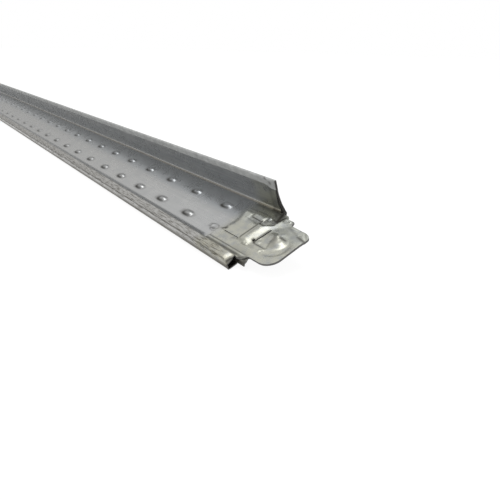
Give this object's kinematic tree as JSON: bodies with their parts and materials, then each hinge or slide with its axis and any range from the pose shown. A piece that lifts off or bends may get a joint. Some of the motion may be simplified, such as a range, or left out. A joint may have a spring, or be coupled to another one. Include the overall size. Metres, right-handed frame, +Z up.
{
  "type": "ceiling grid cross tee",
  "caption": "T-section ceiling grid bar of folded galvanised strip with a hollow bulb, stitched web, painted face cap and stamped locking tabs, lying on its side.",
  "frame": {"origin": "on the floor, under the middle of the tee's overall box", "axes": "+X along the tee, +Y from the bulb's side towards the flange's side, +Z up; the tee lies on its side, so its painted face looks towards +Y and a little upwards"},
  "size_m": [0.6222, 0.0308, 0.0226],
  "materials": {
    "galvanised_strip": "hot-dip galvanised, soft spangle, rolling marks along the strip",
    "painted_cap": "matt pale paint"
  },
  "bodies": {
    "root": {"tee_body": "galvanised_strip", "face_cap": "painted_cap"}
  },
  "joints": []
}
